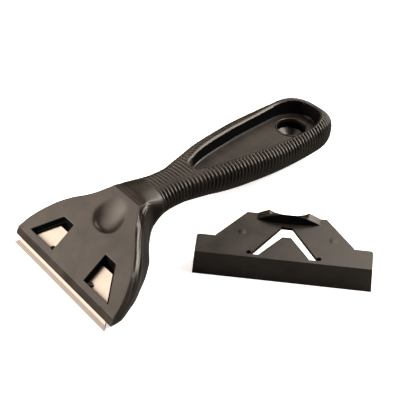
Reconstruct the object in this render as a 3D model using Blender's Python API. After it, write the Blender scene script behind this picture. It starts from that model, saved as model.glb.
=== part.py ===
"""Window scraper with a trapezoid blade and a slide-on blade cover, lying on a table.

All lengths are in metres. The scraper is shaped in its own level frame: u runs along the
blade, v runs back from the cutting edge to the handle's end and w is up. That frame is
then pitched nose up so the cutting edge and the handle's underside both meet the table.
"""
import math

import bmesh
import bpy
import numpy as np
from mathutils import Matrix, Vector

# Blade
blade_length = 0.061
blade_depth = 0.019
blade_thickness = 0.0006
blade_edge_thickness = 0.00006
blade_end_slant = math.radians(35.9)
blade_bevel = 0.0017
blade_exposed = 0.00393
running_gap = 0.0003

# Attitude of the scraper and of its inclined head plate
tool_pitch = math.radians(5.87)
plate_tilt = math.radians(37.5)

# Head
head_width = 0.064
head_front_height = 0.0029
head_plate_length = 0.0366
window_front_land = 0.00254
window_length = 0.0127
window_inner_half_width = 0.01044
pip_radius = 0.0008
pip_recess = 0.0006
pip_lift = 0.00015
dimple_width = 0.0132
dimple_length = 0.0128
dimple_depth = 0.0021
dimple_lean = math.radians(7.0)
dimple_raise = 0.0002

# Handle
handle_length = 0.1102
handle_width = 0.0304
rim_height = 0.0317
rib_pitch = 0.001667
rib_depth = 0.00034
rib_start_run = 0.0135
pocket_length = 0.0692
pocket_floor_width = 0.0184
pocket_tip_run = 0.0333
pocket_floor_height = 0.0289
pocket_floor_drop = 0.0026
pocket_flare = 0.0023
hang_hole_diameter = 0.01295
hang_hole_from_end = 0.0194
hang_lip_width = 0.0007
hang_lip_height = 0.0004

# Cover
cover_width = 0.06795
cover_top_width = 0.06575
cover_shoulder_width = 0.0665
cover_height = 0.01267
cover_depth = 0.02305
cover_cap_depth = 0.0084
cover_neck_width = 0.053
cover_back_width = 0.03125
cover_wall = 0.0015
cover_front_wall = 0.0010
cover_yaw = math.radians(40.76)
cover_offset_x = 0.05457
cover_offset_y = 0.066
slot_base_width = 0.027
slot_apex_width = 0.0036
slot_length = 0.0154
slot_front_land = 0.0012
tongue_base_width = 0.0182
tongue_apex_width = 0.0030
tongue_length = 0.0098
tongue_thickness = 0.0012
tongue_drop = 0.0009
cover_pip_radius = 0.0007
cover_pip_spread = 0.0129
catch_width = 0.0246
catch_depth = 0.0037
catch_height = 0.0025

# Shares of the sizes above
head_width_shares = ((0.0, 1.0), (0.15, 0.96), (0.30, 0.89), (0.385, 0.838), (0.485, 0.769),
                     (0.63, 0.635), (0.75, 0.492), (0.845, 0.397), (0.93, 0.325), (1.0, 0.2625))
shoulder_shares = ((0.0, 1.0), (0.15, 0.99), (0.30, 0.925), (0.485, 0.812), (0.66, 0.654),
                   (0.83, 0.46), (1.0, 0.322))
flange_shares = ((0.0, 1.0), (0.15, 0.985), (0.32, 0.931), (0.485, 0.85), (0.66, 0.745),
                 (0.83, 0.6), (1.0, 0.43))
base_lift_shares = ((0.0, 1.0), (0.06, 0.62), (0.18, 0.24), (0.32, 0.2), (0.66, 0.26), (0.83, 0.36),
                    (1.0, 0.68))
neck_blend_run_share = 0.12
neck_stations = (0.0, 0.03, 0.06, 0.09)
handle_top_shares = ((0.0, 0.886), (0.025, 0.9), (0.06, 0.913), (0.12, 0.928), (0.219, 0.944),
                     (0.264, 0.962), (0.334, 0.984), (0.426, 0.997), (0.54, 1.003), (0.7, 1.018), (0.85, 1.03), (1.0, 1.03))
handle_half_shares = ((0.0, 0.59), (0.06, 0.515), (0.12, 0.46), (0.219, 0.446), (0.264, 0.5),
                      (0.334, 0.588), (0.377, 0.676), (0.452, 0.75), (0.542, 0.839),
                      (0.616, 0.921), (0.716, 0.975), (0.78, 0.99), (0.86, 1.0), (1.0, 1.0))
handle_waist_shares = ((0.0, 0.66), (0.12, 0.726), (0.219, 0.741), (0.334, 0.773), (0.54, 0.773),
                       (0.78, 0.773), (1.0, 0.785))
handle_base_shares = ((0.0, 0.27), (0.05, 0.37), (0.12, 0.445), (0.219, 0.425), (0.334, 0.382),
                      (0.452, 0.345), (0.542, 0.331), (0.616, 0.343), (0.716, 0.364),
                      (0.78, 0.3835), (0.85, 0.42), (0.9, 0.47), (1.0, 0.56))
cap_start_share = 0.85
cap_width_power = 2.15
cap_top_power = 5.0
cap_base_power = 2.2
section_top_power = 3.2
section_base_power = 2.2
rib_fade_share = 0.03
end_ring_shares = (0.9935, 0.9985)
ring_points = 24
head_ring_shares = (0.0, 0.06, 0.18, 0.32, 0.485, 0.66, 0.83, 1.0)
side_drop_shares = (0.06, 0.2, 0.33, 0.6, 0.86)
side_out_shares = (-0.12, 0.75, 1.0)
flange_mid_share = 0.3
flange_low_share = 0.85
base_inner_shares = (0.66, 0.33)
pocket_shares = ((0.0, 0.03), (0.02, 0.12), (0.074, 0.26), (0.148, 0.38), (0.25, 0.52),
                 (0.37, 0.685), (0.46, 0.79), (0.58, 0.86), (0.68, 0.9), (0.78, 0.97),
                 (0.87, 1.0), (0.93, 0.87), (0.97, 0.62), (0.99, 0.33), (1.0, 0.12))
pocket_lift_share = 1.2
dimple_centre_share = 0.735
cutter_reach = 0.03
round_steps = 32
pip_steps = 12
pip_inset_share = 0.12
pip_forward_share = 0.75
catch_stations = 13
catch_peak_place = 0.65
catch_peak_spread = 0.34
catch_dip_share = 0.32
catch_arch_share = 0.35
catch_sink_share = 0.5
catch_back_share = 0.12
smooth_limit = math.radians(28.0)

black_plastic = (0.030, 0.026, 0.024, 1.0)
blade_steel = (0.62, 0.58, 0.53, 1.0)


def clear_scene():
    """Remove every object, mesh and material that the start-up file holds."""
    for kind in (bpy.data.objects, bpy.data.meshes, bpy.data.materials):
        for item in list(kind):
            kind.remove(item)


def eased(x, table):
    """Read a table of (place, value) pairs at x with a smooth curve through its points."""
    xs = np.array([row[0] for row in table])
    ys = np.array([row[1] for row in table])
    steps = np.diff(ys) / np.diff(xs)
    slopes = np.concatenate(([steps[0]], (steps[:-1] + steps[1:]) / 2, [steps[-1]]))
    turning = np.concatenate(([False], steps[:-1] * steps[1:] <= 0, [False]))
    slopes[turning] = 0
    x = np.clip(x, xs[0], xs[-1])
    k = np.clip(np.searchsorted(xs, x, side="right") - 1, 0, len(xs) - 2)
    span = xs[k + 1] - xs[k]
    t = (x - xs[k]) / span
    return (ys[k] * (1 + 2 * t) * (1 - t) ** 2 + ys[k + 1] * t ** 2 * (3 - 2 * t)
            + span * (slopes[k] * t * (1 - t) ** 2 - slopes[k + 1] * t ** 2 * (1 - t)))


def pitched(points):
    """Turn points of the scraper's level frame into points over the table."""
    turn = Matrix.Rotation(-tool_pitch, 3, "X")
    return np.asarray(points) @ np.array(turn).T


def yawed(points):
    """Turn points of the cover's own frame into points over the table."""
    turn = np.array(Matrix.Rotation(cover_yaw, 3, "Z"))
    return np.asarray(points) @ turn.T + np.array((cover_offset_x, cover_offset_y, 0.0))


def build(name, verts, faces):
    """Make an object from points and faces, with every face turned outward."""
    mesh = bpy.data.meshes.new(name)
    mesh.from_pydata([tuple(p) for p in verts], [], faces)
    work = bmesh.new()
    work.from_mesh(mesh)
    bmesh.ops.recalc_face_normals(work, faces=work.faces[:])
    work.to_mesh(mesh)
    work.free()
    made = bpy.data.objects.new(name, mesh)
    bpy.context.scene.collection.objects.link(made)
    return made


def skin(name, rings):
    """Join equal closed rings one after another and cap both ends."""
    rings = np.asarray(rings)
    count, size = rings.shape[:2]
    faces = [tuple(reversed(range(size))), tuple((count - 1) * size + i for i in range(size))]
    for r in range(count - 1):
        a, b = r * size, (r + 1) * size
        faces += [(a + i, a + (i + 1) % size, b + (i + 1) % size, b + i) for i in range(size)]
    return build(name, rings.reshape(-1, 3), faces)


def prism(name, low, high):
    """Close the space between a lower outline and a matching upper outline."""
    return skin(name, [low, high])


def disc(radius, steps, centre_u, centre_v):
    """Points of a level circle."""
    turn = np.linspace(0, 2 * math.pi, steps, endpoint=False)
    return np.stack([centre_u + radius * np.cos(turn), centre_v + radius * np.sin(turn)], 1)


def cutter(made):
    """Keep a cutting or joining shape out of the renders and the hand-over."""
    made.hide_render = True
    made.display_type = "WIRE"
    return made


def apply_shape(target, tool, operation):
    """Cut or join one shape with another."""
    cutter(tool)
    change = target.modifiers.new(operation.title(), "BOOLEAN")
    change.operation = operation
    change.solver = "EXACT"
    change.object = tool


def finish(made, colour, roughness, metallic, origin):
    """Give a piece its material and soft shading, and put its origin on its joint axis."""
    shift = Vector(origin)
    made.data.transform(Matrix.Translation(-shift))
    made.location = shift
    finish_material = bpy.data.materials.new(made.name + "_material")
    finish_material.use_nodes = True
    shader = finish_material.node_tree.nodes["Principled BSDF"]
    shader.inputs["Base Color"].default_value = colour
    shader.inputs["Roughness"].default_value = roughness
    shader.inputs["Metallic"].default_value = metallic
    made.data.materials.append(finish_material)
    made.data.shade_smooth()
    made.data.set_sharp_from_angle(angle=smooth_limit)


plate_cos, plate_sin, plate_tan = math.cos(plate_tilt), math.sin(plate_tilt), math.tan(plate_tilt)
front_v = blade_exposed * plate_cos - blade_thickness * plate_sin / 2
slot_half_height = blade_thickness / 2 + running_gap
head_run = head_plate_length * plate_cos
crease_v = front_v + head_run
end_v = crease_v + handle_length
front_base_w = front_v * plate_tan + slot_half_height / plate_cos
front_top_w = front_base_w + head_front_height
front_lip_w = front_base_w - blade_thickness


def table_w(v):
    """Height of the table in the scraper's level frame."""
    return np.asarray(v) * math.tan(tool_pitch)


def plate_w(v):
    """Height of the inclined head plate's top face."""
    return front_top_w + (np.asarray(v) - front_v) * plate_tan


def right_half(top, half, shoulder, flange, base):
    """Right side of a head section, from the middle of its top to the middle of its base."""
    drop = top - base
    out = shoulder - half
    widths = [0, half * base_inner_shares[1], half * base_inner_shares[0], half,
              half + out * side_out_shares[0], half + out * side_out_shares[1],
              half + out * side_out_shares[2], shoulder + (flange - shoulder) * flange_mid_share,
              shoulder + (flange - shoulder) * flange_low_share, flange,
              flange * base_inner_shares[0], flange * base_inner_shares[1], 0]
    heights = [top, top, top, top] + [top - drop * share for share in side_drop_shares]
    heights += [base, base, base, base]
    return np.array(widths), np.array(heights)


def handle_half(run_share, inset):
    """Right side of a handle section at a share of the handle's run, drawn in by inset."""
    cap = max(0.0, (run_share - cap_start_share) / (1 - cap_start_share))
    wide = (1 - cap ** cap_width_power) ** (1 / cap_width_power)
    tall = (1 - cap ** cap_top_power) ** (1 / cap_top_power)
    deep = (1 - cap ** cap_base_power) ** (1 / cap_base_power)
    waist = rim_height * eased(run_share, handle_waist_shares)
    top = waist + (rim_height * eased(run_share, handle_top_shares) - waist) * tall - inset
    base = waist - (waist - rim_height * eased(run_share, handle_base_shares)) * deep + inset
    half = handle_width / 2 * eased(run_share, handle_half_shares) * wide - inset
    turn = np.linspace(math.pi / 2, -math.pi / 2, ring_points // 2 + 1)
    power = np.where(turn >= 0, section_top_power, section_base_power)
    width = half * np.abs(np.cos(turn)) ** (2 / power)
    rise = np.sign(np.sin(turn)) * np.abs(np.sin(turn)) ** (2 / power)
    height = waist + np.where(turn >= 0, top - waist, waist - base) * rise
    width[0] = width[-1] = 0
    return width, height


def full_ring(v, half):
    """Mirror a right half into a closed ring at distance v from the cutting edge."""
    width, height = half
    u = np.concatenate((width, -width[-2:0:-1]))
    w = np.concatenate((height, height[-2:0:-1]))
    return pitched(np.stack([u, np.full(len(u), v), w], 1))


def head_half(share, top):
    """Right side of a head section at a share of the head's run."""
    half_width = head_width / 2
    v = front_v + head_run * share
    table = float(table_w(v))
    front_lift = front_lip_w - float(table_w(front_v))
    base = table + front_lift * eased(share, base_lift_shares)
    return right_half(top, half_width * eased(share, head_width_shares),
                      half_width * eased(share, shoulder_shares),
                      half_width * eased(share, flange_shares), base)


def handle_rings():
    """All rings of the moulding, from the head's front face to the handle's end."""
    rings = [full_ring(front_v + head_run * share, head_half(share, float(plate_w(front_v + head_run * share))))
             for share in head_ring_shares]
    crease_half = head_half(1.0, float(plate_w(crease_v)))
    for share in neck_stations[1:]:
        blend = eased(share / neck_blend_run_share, ((0.0, 0.0), (0.5, 0.55), (1.0, 1.0)))
        neck = handle_half(share, 0.0)
        rings.append(full_ring(crease_v + handle_length * share,
                               [c * (1 - blend) + n * blend for c, n in zip(crease_half, neck)]))
    v = crease_v + rib_start_run
    ridge = 0
    while v < end_v - rib_pitch:
        share = (v - crease_v) / handle_length
        fade = min(1.0, (1 - share) / rib_fade_share)
        rings.append(full_ring(v, handle_half(share, rib_depth * fade * (ridge % 2))))
        ridge += 1
        v += rib_pitch / 2
    rings += [full_ring(crease_v + handle_length * share, handle_half(share, 0.0))
              for share in end_ring_shares]
    return rings


def pocket_outline(flare, lift):
    """Closed outline of the handle's pocket, opened out by flare and raised by lift."""
    places = np.array([row[0] for row in pocket_shares])
    halves = np.array([row[1] for row in pocket_shares]) * pocket_floor_width / 2
    middle = crease_v + pocket_tip_run + pocket_length / 2
    v = crease_v + pocket_tip_run + places * pocket_length
    half = halves + flare * np.minimum(1, halves / (pocket_floor_width / 2) + flare / pocket_floor_width)
    v = middle + (v - middle) * (1 + 2 * flare / pocket_length)
    w = pocket_floor_height - pocket_floor_drop * places + lift
    right = np.stack([half, v, w], 1)
    left = right[::-1] * np.array((-1.0, 1.0, 1.0))
    return pitched(np.concatenate((right, left)))


def blade_outline(grow):
    """Half-width of the blade at its cutting edge and at its back, grown by a gap all round."""
    slant = math.tan(blade_end_slant)
    widen = grow / math.cos(blade_end_slant)
    return blade_length / 2 + widen, blade_length / 2 - blade_depth * slant + widen - grow * slant


def blade_point(u, depth, height):
    """Point at a depth back from the cutting edge and a height off the blade's mid plane."""
    return (u, depth * plate_cos - height * plate_sin, depth * plate_sin + height * plate_cos)


def level_plate(outline, low, high, name):
    """Upright prism in the cover's own frame."""
    flat = np.asarray(outline)
    bottom = np.concatenate([flat, np.full((len(flat), 1), low)], 1)
    top = np.concatenate([flat, np.full((len(flat), 1), high)], 1)
    return prism(name, yawed(bottom), yawed(top))


def make_handle():
    """Handle and head moulding with its pocket, hanging hole, blade slot and two windows."""
    body = skin("scraper_handle", handle_rings())
    lift = (rim_height - pocket_floor_height + pocket_floor_drop) * pocket_lift_share
    pocket = prism("pocket_cutter", pocket_outline(0.0, 0.0), pocket_outline(pocket_flare, lift))
    apply_shape(body, pocket, "DIFFERENCE")

    hole_v = end_v - hang_hole_from_end
    hole_share = (hole_v - crease_v - pocket_tip_run) / pocket_length
    floor_w = pocket_floor_height - pocket_floor_drop * hole_share
    lip = disc(hang_hole_diameter / 2 + hang_lip_width, round_steps, 0.0, hole_v)
    sink = np.full((round_steps, 1), floor_w - hang_lip_height * 3)
    rise = np.full((round_steps, 1), floor_w + hang_lip_height)
    lip_shape = prism("lip_joiner", pitched(np.concatenate([lip, sink], 1)),
                      pitched(np.concatenate([lip, rise], 1)))
    apply_shape(body, lip_shape, "UNION")
    hole = disc(hang_hole_diameter / 2, round_steps, 0.0, hole_v)
    sink = np.full((round_steps, 1), -cutter_reach)
    rise = np.full((round_steps, 1), rim_height + cutter_reach)
    apply_shape(body, prism("hole_cutter", pitched(np.concatenate([hole, sink], 1)),
                            pitched(np.concatenate([hole, rise], 1))), "DIFFERENCE")

    front, back = blade_outline(running_gap)
    slant = math.tan(blade_end_slant)
    fore = blade_exposed / 2
    rear = blade_depth + running_gap
    outline = [(front - fore * slant, fore), (back, rear), (-back, rear), (-front + fore * slant, fore)]
    slot = prism("slot_cutter",
                 pitched([blade_point(u, d, -slot_half_height) for u, d in outline]),
                 pitched([blade_point(u, d, slot_half_height) for u, d in outline]))
    apply_shape(body, slot, "DIFFERENCE")

    window_fore = window_front_land * plate_cos + front_v
    window_rear = window_fore + window_length * plate_cos
    outer_fore = blade_length / 2 - window_fore / plate_cos * slant
    outer_rear = blade_length / 2 - window_rear / plate_cos * slant
    for side, word in ((-1, "left"), (1, "right")):
        plan = np.array([(side * window_inner_half_width, window_fore), (side * outer_fore, window_fore),
                         (side * outer_rear, window_rear), (side * window_inner_half_width, window_rear)])
        low = np.concatenate([plan, plan[:, 1:] * plate_tan], 1)
        high = np.concatenate([plan, plate_w(plan[:, 1:]) + cutter_reach], 1)
        apply_shape(body, prism(word + "_window_cutter", pitched(low), pitched(high)), "DIFFERENCE")
        middle = window_inner_half_width + pip_inset_share * (outer_fore - window_inner_half_width)
        ring = disc(pip_radius, pip_steps, side * middle, window_fore + pip_radius * pip_forward_share)
        floor = ring[:, 1:] * plate_tan + (slot_half_height + pip_lift) / plate_cos
        roof = plate_w(ring[:, 1:]) - pip_recess
        apply_shape(body, prism(word + "_pip_joiner", pitched(np.concatenate([ring, floor], 1)),
                                pitched(np.concatenate([ring, roof], 1))), "UNION")

    ball = bmesh.new()
    bmesh.ops.create_uvsphere(ball, u_segments=round_steps // 2, v_segments=round_steps // 4, radius=1.0)
    flat = Matrix.Diagonal((dimple_width / 2, dimple_length / 2, dimple_depth, 1.0))
    along = head_plate_length * dimple_centre_share
    centre = Matrix.Translation((0, front_v + along * plate_cos, front_top_w + along * plate_sin + dimple_raise))
    pitch = Matrix.Rotation(-tool_pitch, 4, "X")
    lean = Matrix.Rotation(plate_tilt + dimple_lean, 4, "X")
    bmesh.ops.transform(ball, matrix=pitch @ centre @ lean @ flat, verts=ball.verts[:])
    shape = bpy.data.meshes.new("dimple_cutter")
    ball.to_mesh(shape)
    ball.free()
    dimple = bpy.data.objects.new("dimple_cutter", shape)
    bpy.context.scene.collection.objects.link(dimple)
    apply_shape(body, dimple, "DIFFERENCE")
    finish(body, black_plastic, 0.42, 0.0, (0.0, 0.0, 0.0))
    return body


def make_blade():
    """Ground steel blade, tapering to its cutting edge on both faces."""
    front, back = blade_outline(0.0)
    slant = math.tan(blade_end_slant)
    thick, thin = blade_thickness / 2, blade_edge_thickness / 2
    rows = ((0.0, thin), (blade_bevel, thick), (blade_depth, thick))
    rings = []
    for depth, half in rows:
        wide = front - depth * slant
        corners = ((-wide, half), (wide, half), (wide, -half), (-wide, -half))
        rings.append(pitched([blade_point(u, depth, height) for u, height in corners]))
    blade = skin("blade", rings)
    finish(blade, blade_steel, 0.28, 1.0, pitched((0.0, 0.0, 0.0)))


def make_cover():
    """Cover that slides over the blade, with its slot, thumb catch and two small holes."""
    top_z = cover_height
    foot, brow, ear = cover_width / 2, cover_top_width / 2, cover_shoulder_width / 2
    neck, back = cover_neck_width / 2, cover_back_width / 2
    low = np.array([(-foot, 0, 0), (foot, 0, 0), (foot, cover_cap_depth, 0), (-foot, cover_cap_depth, 0)])
    high = np.array([(-brow, 0, top_z), (brow, 0, top_z), (ear, cover_cap_depth, top_z),
                     (-ear, cover_cap_depth, top_z)])
    cap = prism("blade_cover", yawed(low), yawed(high))
    grip_fore = cover_cap_depth - cover_wall
    tail = [(-neck, grip_fore), (neck, grip_fore), (neck, cover_cap_depth + running_gap), (back, cover_depth),
            (-back, cover_depth), (-neck, cover_cap_depth + running_gap)]
    apply_shape(cap, level_plate(tail, top_z - cover_wall, top_z, "tail_joiner"), "UNION")
    inner = brow - cover_wall
    room = [(-inner, cover_front_wall), (inner, cover_front_wall), (inner, cover_depth), (-inner, cover_depth)]
    apply_shape(cap, level_plate(room, cover_wall, top_z - cover_wall, "room_cutter"), "DIFFERENCE")

    slot_end = slot_front_land + slot_length
    base, apex = slot_base_width / 2, slot_apex_width / 2
    slot = [(-base, slot_front_land), (base, slot_front_land), (apex, slot_end), (-apex, slot_end)]
    apply_shape(cap, level_plate(slot, top_z - 2 * cover_wall, top_z + cover_wall, "slot_opening_cutter"),
                "DIFFERENCE")
    for side, word in ((-1, "left"), (1, "right")):
        ring = disc(cover_pip_radius, pip_steps, side * cover_pip_spread, slot_front_land + cover_pip_radius)
        apply_shape(cap, level_plate(ring, top_z - 2 * cover_wall, top_z + cover_wall, word + "_dot_cutter"),
                    "DIFFERENCE")

    across = np.linspace(-1, 1, catch_stations)
    peak = np.exp(-((np.abs(across) - catch_peak_place) / catch_peak_spread) ** 2)
    edge = np.sqrt(np.clip(1 - np.abs(across) ** 6, 0, 1))
    height = catch_height * np.maximum(peak, catch_dip_share) * edge + catch_height * catch_back_share
    fore = cover_depth - catch_depth * (1 - catch_arch_share * across ** 2)
    sunk = top_z - cover_wall * catch_sink_share
    back_y = cover_depth - catch_depth * catch_back_share
    rings = [yawed([(x * catch_width / 2, f, sunk), (x * catch_width / 2, back_y, sunk),
                    (x * catch_width / 2, back_y, top_z + h),
                    (x * catch_width / 2, (f + back_y) / 2, top_z + h * (1 - catch_back_share))])
             for x, f, h in zip(across, fore, height)]
    apply_shape(cap, skin("catch_joiner", rings), "UNION")
    finish(cap, black_plastic, 0.42, 0.0, yawed((0.0, cover_depth / 2, 0.0)))


def make_tongue():
    """Springy triangular tongue of the cover, dipping a little toward its point."""
    fore = slot_front_land + running_gap
    rear = fore + tongue_length
    base, apex = tongue_base_width / 2, tongue_apex_width / 2
    top = cover_height
    low = [(-base, fore, top - tongue_thickness), (base, fore, top - tongue_thickness),
           (apex, rear, top - tongue_thickness - tongue_drop), (-apex, rear, top - tongue_thickness - tongue_drop)]
    high = [(-base, fore, top), (base, fore, top), (apex, rear, top - tongue_drop), (-apex, rear, top - tongue_drop)]
    tongue = prism("cover_tongue", yawed(low), yawed(high))
    finish(tongue, black_plastic, 0.42, 0.0, yawed((0.0, fore, top - tongue_thickness / 2)))


def settle():
    """Move the whole set so that the middle of its footprint is the origin on the table."""
    bpy.context.view_layer.update()
    depsgraph = bpy.context.evaluated_depsgraph_get()
    corners = []
    for made in bpy.data.objects:
        if not made.hide_render:
            shape = made.evaluated_get(depsgraph)
            corners += [shape.matrix_world @ v.co for v in shape.data.vertices]
    low = Vector(min(c[i] for c in corners) for i in range(3))
    high = Vector(max(c[i] for c in corners) for i in range(3))
    shift = Vector((-(low.x + high.x) / 2, -(low.y + high.y) / 2, -low.z))
    for made in bpy.data.objects:
        made.location += shift
    print("shift", tuple(shift), "size", tuple(high - low))


def main():
    """Build the set."""
    clear_scene()
    make_handle()
    make_blade()
    make_cover()
    make_tongue()
    settle()


main()
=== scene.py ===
"""Window scraper with its blade and slide-on cover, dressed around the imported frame.

Shapes are worked out in millimetres in two local frames and then placed on the table:
the scraper's level frame (u along the blade, v back from the cutting edge, w up), which is
pitched nose up, and the cover's own frame (x along its front wall, y back, z up), which is
turned on the table.
"""
import logging
import math
from dataclasses import dataclass
from enum import Enum
from typing import Sequence

import bmesh
import bpy
import numpy as np
from bpy.types import Camera, Light, Material, Mesh, Node, NodeSocket, NodeTree, Object
from mathutils import Matrix, Vector


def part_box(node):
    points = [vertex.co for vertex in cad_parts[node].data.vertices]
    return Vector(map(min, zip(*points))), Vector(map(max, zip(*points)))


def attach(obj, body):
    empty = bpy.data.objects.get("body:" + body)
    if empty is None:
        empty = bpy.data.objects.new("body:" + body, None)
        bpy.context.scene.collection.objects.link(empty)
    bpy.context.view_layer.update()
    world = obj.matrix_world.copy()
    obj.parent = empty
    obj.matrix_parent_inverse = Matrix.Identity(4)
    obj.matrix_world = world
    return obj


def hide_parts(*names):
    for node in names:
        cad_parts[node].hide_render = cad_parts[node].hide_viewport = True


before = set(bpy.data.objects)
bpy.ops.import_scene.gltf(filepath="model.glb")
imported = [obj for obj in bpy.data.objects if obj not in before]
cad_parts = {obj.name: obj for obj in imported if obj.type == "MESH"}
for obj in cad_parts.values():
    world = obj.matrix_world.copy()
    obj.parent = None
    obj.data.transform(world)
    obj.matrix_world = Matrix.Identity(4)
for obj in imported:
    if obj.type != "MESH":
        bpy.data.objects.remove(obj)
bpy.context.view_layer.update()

logging.basicConfig(level=logging.INFO, format="%(levelname)s %(message)s")
log = logging.getLogger("scraper")

MM = 0.001
Table = Sequence[tuple[float, float]]
Point = tuple[float, float, float]

# Sizes in millimetres and angles in radians; v and w are places in the scraper's level frame
TOOL_PITCH = math.radians(5.87)
PITCH_TAN = math.tan(TOOL_PITCH)
PLATE_TILT = math.radians(37.5)
PLATE_COS, PLATE_SIN, PLATE_TAN = math.cos(PLATE_TILT), math.sin(PLATE_TILT), math.tan(PLATE_TILT)
BLADE_HALF, BLADE_DEPTH, BLADE_THICK, BLADE_EXPOSED = 30.5, 19.0, 0.6, 3.93
BLADE_SLANT = math.tan(math.radians(35.9))
SLOT_HALF, SLOT_REAR = 0.6, BLADE_DEPTH + 0.3
FRONT_V = BLADE_EXPOSED * PLATE_COS - BLADE_THICK * PLATE_SIN / 2
FRONT_HIGH = 2.9
HEAD_RUN = 36.6 * PLATE_COS
CREASE_V = FRONT_V + HEAD_RUN
HANDLE_RUN = 110.0
END_V = CREASE_V + HANDLE_RUN
FRONT_BASE_W = FRONT_V * PLATE_TAN + SLOT_HALF / PLATE_COS
FRONT_TOP_W = FRONT_BASE_W + FRONT_HIGH
HEAD_HALF, HANDLE_HALF = 32.0, 15.2
RIM = 31.7
RIB_PITCH, RIB_DEPTH, RIB_POWER = 1.667, 0.56, 2.2
FIRST_RIB_V = CREASE_V + 12.68
SEAM_V = FIRST_RIB_V - RIB_PITCH / 2
POCKET_V, POCKET_RUN = CREASE_V + 36.7, 65.8
POCKET_FLOOR, POCKET_RISE = 24.57, 1.435
WALL_SLOPE, LIP_SLOPE = 7.5, 0.75
HOLE_V, HOLE_R = END_V - 19.2, 6.475
HOLE_STEP, HOLE_TAPER, HOLE_FOOT_R = 4.2, 2.8, 2.0
DIMPLE_BACK = 26.0
PIP_BACK, PIP_ASIDE = 4.5, 12.5
# A window's inner side, how far it stops short of the blade's ends, its front, and its depths
# at front and rear, for the wide mouth and for the opening inside its ledge
WINDOW_MOUTH, WINDOW_OPENING = (10.44, 0.0, 2.54, (2.3, 2.3)), (10.7, 1.1, 3.0, (3.66, 8.0))
WINDOW_REAR, MOUTH_BEVEL = 15.24, 0.18
# Corners of the hanging hole's circles, and the height above everything to which cutters reach
ROUND_STEPS, TOOL_TOP = 96, 60.0
# The cover's turn and place on the table, and how far it then stands forward
COVER_TURN = math.radians(40.95)
COVER_X, COVER_Y, COVER_FORWARD = 54.38, 65.84, 0.5
# Plan of the slot round the cover's tongue, the two dots at its ends and two faint bumps
TONGUE_SLOT = ((-12.4, 1.5), (13.4, 1.5), (2.6, 17.85), (-1.6, 17.85))
DOTS, DOT_R = ((-12.9, 2.5), (13.5, 2.5)), 0.95
BUMPS, BUMP_R = ((-16.6, 13.0), (18.4, 12.8)), 1.9

# Curves over shares of the head's run, as shares of the head's half-width and of its lift
HEAD_HALF_SHARES: Table = (
    (0.0, 1.0), (0.15, 0.96), (0.30, 0.89), (0.385, 0.838), (0.485, 0.769), (0.63, 0.632),
    (0.75, 0.487), (0.845, 0.392), (0.93, 0.325), (1.0, 0.266))
SHOULDER_SHARES: Table = (
    (0.0, 1.0), (0.15, 0.985), (0.30, 0.945), (0.485, 0.865), (0.66, 0.73), (0.83, 0.54), (1.0, 0.40))
FLANGE_SHARES: Table = (
    (0.0, 1.0), (0.15, 0.975), (0.32, 0.91), (0.485, 0.84), (0.66, 0.735), (0.83, 0.63),
    (0.92, 0.562), (1.0, 0.5))
LIFT_SHARES: Table = (
    (0.0, 1.0), (0.06, 0.62), (0.18, 0.24), (0.32, 0.2), (0.66, 0.26), (0.83, 0.36), (1.0, 0.68))

# Curves over shares of the handle's run, as shares of RIM, of HANDLE_HALF or as powers
TOP_SHARES: Table = (
    (0.0, 0.852), (0.02, 0.885), (0.035, 0.905), (0.06, 0.912), (0.12, 0.907), (0.16, 0.907),
    (0.219, 0.908), (0.264, 0.92), (0.334, 0.943), (0.426, 0.97), (0.54, 0.986), (0.64, 0.99),
    (0.72, 1.003), (0.82, 1.04), (0.9, 1.07), (1.0, 1.05))
HALF_SHARES: Table = (
    (0.0, 0.70), (0.036, 0.735), (0.064, 0.705), (0.09, 0.66), (0.12, 0.605), (0.16, 0.555),
    (0.219, 0.54), (0.264, 0.6), (0.334, 0.705), (0.377, 0.79), (0.452, 0.885), (0.542, 0.975),
    (0.616, 1.045), (0.716, 1.07), (0.78, 1.06), (0.86, 1.02), (1.0, 1.0))
WAIST_SHARES: Table = (
    (0.0, 0.66), (0.12, 0.726), (0.219, 0.741), (0.334, 0.773), (0.54, 0.785), (0.78, 0.775),
    (1.0, 0.765))
BASE_SHARES: Table = (
    (0.0, 0.36), (0.05, 0.455), (0.12, 0.49), (0.219, 0.488), (0.334, 0.452), (0.452, 0.403),
    (0.542, 0.396), (0.616, 0.409), (0.716, 0.428), (0.78, 0.441), (0.85, 0.45), (0.9, 0.462),
    (1.0, 0.56))
SECTION_POWERS: Table = ((0.0, 3.0), (0.08, 2.6), (0.14, 2.4), (0.35, 3.4), (1.0, 3.4))
# The handle's end starts to round off here, with these powers for its top, base and width
CAP_SHARE, CAP_POWERS = 0.85, (2.6, 2.2, 2.05)

# Half-widths of the pocket's floor over shares of its run; past the end share it closes
POCKET_SHARES: Table = (
    (-0.1, 3.2), (0.0, 3.3), (0.04, 4.3), (0.109, 5.65), (0.216, 6.95), (0.341, 8.05),
    (0.4355, 8.83), (0.561, 9.43), (0.6655, 9.8), (0.749, 10.0), (0.812, 10.05), (1.0, 10.05))
POCKET_END_SHARE = 0.812
# Heights of the catch's rear edge, with its horns, over shares of the catch's half-width
HORN_HEIGHTS: Table = (
    (0.0, 0.45), (0.2, 0.5), (0.35, 0.85), (0.48, 1.35), (0.57, 2.0), (0.62, 2.45), (0.7, 2.05),
    (0.8, 1.4), (0.9, 0.75), (1.0, 0.0))


def cubic(ends: Sequence[np.ndarray], rises: Sequence[np.ndarray], t: np.ndarray) -> np.ndarray:
    """Cubic at shares t of a span, from its end values and the rises that its end slopes would give."""
    return (ends[0] * (1 + 2 * t) * (1 - t) ** 2 + ends[1] * t ** 2 * (3 - 2 * t)
            + rises[0] * t * (1 - t) ** 2 - rises[1] * t ** 2 * (1 - t))


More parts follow.
